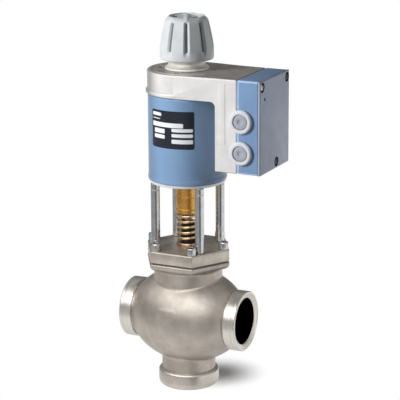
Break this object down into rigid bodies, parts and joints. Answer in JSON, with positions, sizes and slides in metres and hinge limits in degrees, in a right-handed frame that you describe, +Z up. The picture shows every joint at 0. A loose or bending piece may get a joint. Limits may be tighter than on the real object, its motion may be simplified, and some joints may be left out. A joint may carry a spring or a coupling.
{
  "type": "three-way control valve",
  "caption": "Cast three-way mixing valve with a sprung stem and plug, driven by a magnetic actuator on posts, with terminal box and hand knob.",
  "frame": {"origin": "centre of the bounding box on the plane of the bottom port's face", "axes": "+Z up along the stem, +X towards the right port and the terminal box, -Y the side with the cable entries"},
  "size_m": [0.17, 0.105, 0.4066],
  "materials": {
    "cast_stainless": "cast stainless steel, bead blasted",
    "machined_steel": "turned stainless steel",
    "dark_steel": "plain magnet steel",
    "zinc_plating": "nickel and zinc plated steel",
    "brass": "turned brass",
    "copper": "copper coloured metal",
    "blue_paint": "satin blue paint",
    "blue_plastic": "moulded, fine texture",
    "lid_plastic": "moulded grey-blue, fine texture",
    "cover_metal": "die-cast, light coating",
    "grey_plastic": "moulded light grey",
    "white_plastic": "moulded off-white",
    "dark_plastic": "moulded",
    "seal": "graphite and rubber",
    "board": "circuit board laminate"
  },
  "bodies": {
    "housing": {"base_plate": "zinc_plating", "bonnet": "cast_stainless", "bonnet_gasket": "seal", "bonnet_screw_1": "zinc_plating", "bonnet_screw_2": "zinc_plating", "bonnet_screw_3": "zinc_plating", "bonnet_screw_4": "zinc_plating", "bonnet_screw_5": "zinc_plating", "bonnet_screw_6": "zinc_plating", "circuit_board": "board", "coil_bobbin": "dark_plastic", "coil_winding": "copper", "cover_screw_1": "dark_steel", "cover_screw_2": "dark_steel", "cover_screw_3": "dark_steel", "cover_screw_4": "dark_steel", "entry_plug_1": "grey_plastic", "entry_plug_2": "grey_plastic", "entry_ring_1": "white_plastic", "entry_ring_2": "white_plastic", "flux_plate": "dark_steel", "gland_nut": "copper", "guide_bush": "brass", "guide_tube": "brass", "knob_neck": "machined_steel", "knob_spring": "machined_steel", "lid_screw_1": "zinc_plating", "lid_screw_2": "zinc_plating", "lid_screw_3": "zinc_plating", "lower_seat_ring": "machined_steel", "magnet_can": "blue_paint", "metal_cover": "cover_metal", "pole_piece": "dark_steel", "post_1": "zinc_plating", "post_2": "zinc_plating", "post_3": "zinc_plating", "post_4": "zinc_plating", "return_spring": "brass", "spring_guide": "dark_plastic", "stem_packing": "seal", "terminal_block": "grey_plastic", "terminal_box": "blue_plastic", "terminal_lid": "lid_plastic", "upper_seat_ring": "machined_steel", "valve_body": "cast_stainless"},
    "stem": {"stem": "machined_steel", "plug": "machined_steel", "plug_nut": "machined_steel", "spring_cap": "brass", "armature": "dark_steel", "armature_nut": "zinc_plating"},
    "press": {"press_sleeve": "brass", "retaining_ring": "dark_steel"},
    "knob": {"knob": "grey_plastic", "knob_cap": "grey_plastic", "spindle": "machined_steel", "knob_screw": "zinc_plating"}
  },
  "joints": [
    {"name": "stem_travel", "type": "slide", "parent": "housing", "child": "stem", "axis": [0, 0, 1], "range_m": [-0.006, 0], "stiffness_N_per_m": 3000, "springref_m": 0.01, "deforming": ["return_spring"]},
    {"name": "knob_press", "type": "slide", "parent": "housing", "child": "press", "axis": [0, 0, 1], "range_m": [-0.0025, 0], "stiffness_N_per_m": 1500, "springref_m": 0.003, "deforming": ["knob_spring"]},
    {"name": "knob_turn", "type": "hinge", "parent": "press", "child": "knob", "pos_m": [-0.016, 0, 0.36], "axis": [0, 0, 1], "range_deg": [-270, 45]}
  ]
}
